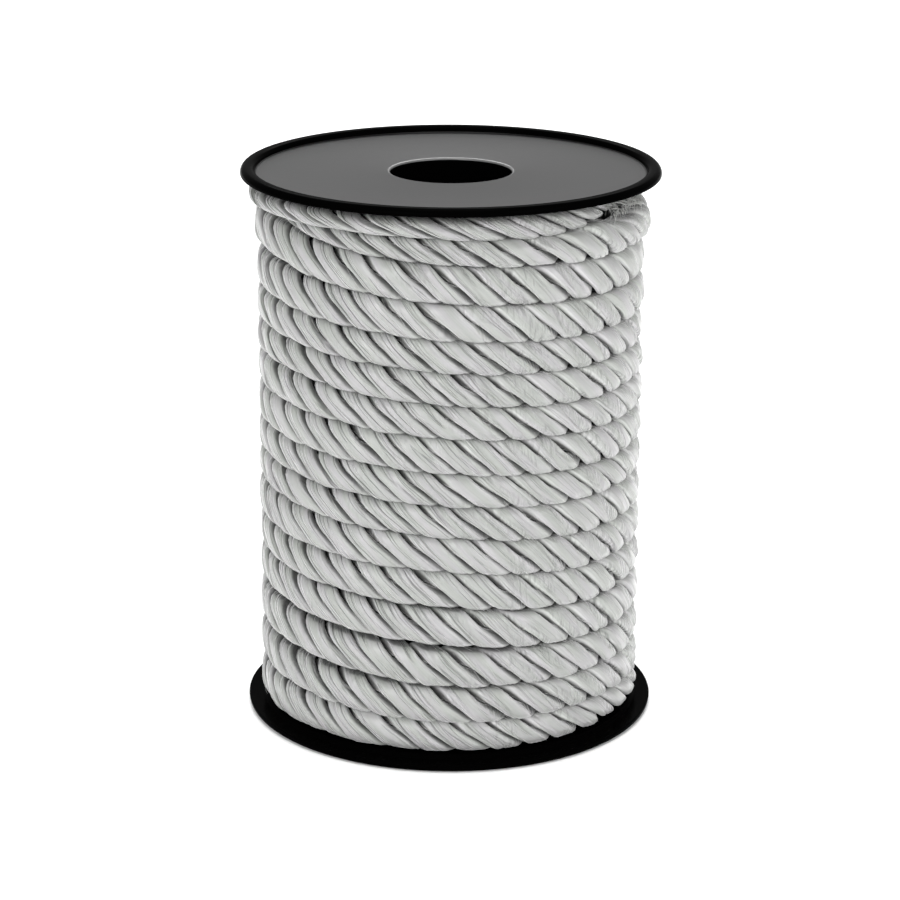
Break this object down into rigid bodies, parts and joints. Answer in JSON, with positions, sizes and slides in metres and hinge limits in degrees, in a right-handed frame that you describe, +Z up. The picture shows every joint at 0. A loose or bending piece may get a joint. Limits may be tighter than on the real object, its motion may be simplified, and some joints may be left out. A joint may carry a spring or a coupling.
{
  "type": "craft cord on a spool",
  "caption": "Thick twisted satin cord wound in close turns round the barrel of an upright plastic spool with rimmed flanges.",
  "frame": {"origin": "centre of the bottom flange's lower face, on the surface that the spool stands on", "axes": "+Z up along the spool's axis, from the bottom flange to the top flange; -Y is the side that the picture shows; +X is to the right there"},
  "size_m": [0.1, 0.1, 0.135],
  "materials": {
    "cord": "silver-grey satin yarn, three strands twisted",
    "spool": "black moulded plastic, satin on the flat faces and glossier on the rims"
  },
  "bodies": {
    "root": {"wound_cord": "cord", "spool_barrel": "spool", "flange_top": "spool", "flange_bottom": "spool"}
  },
  "joints": []
}
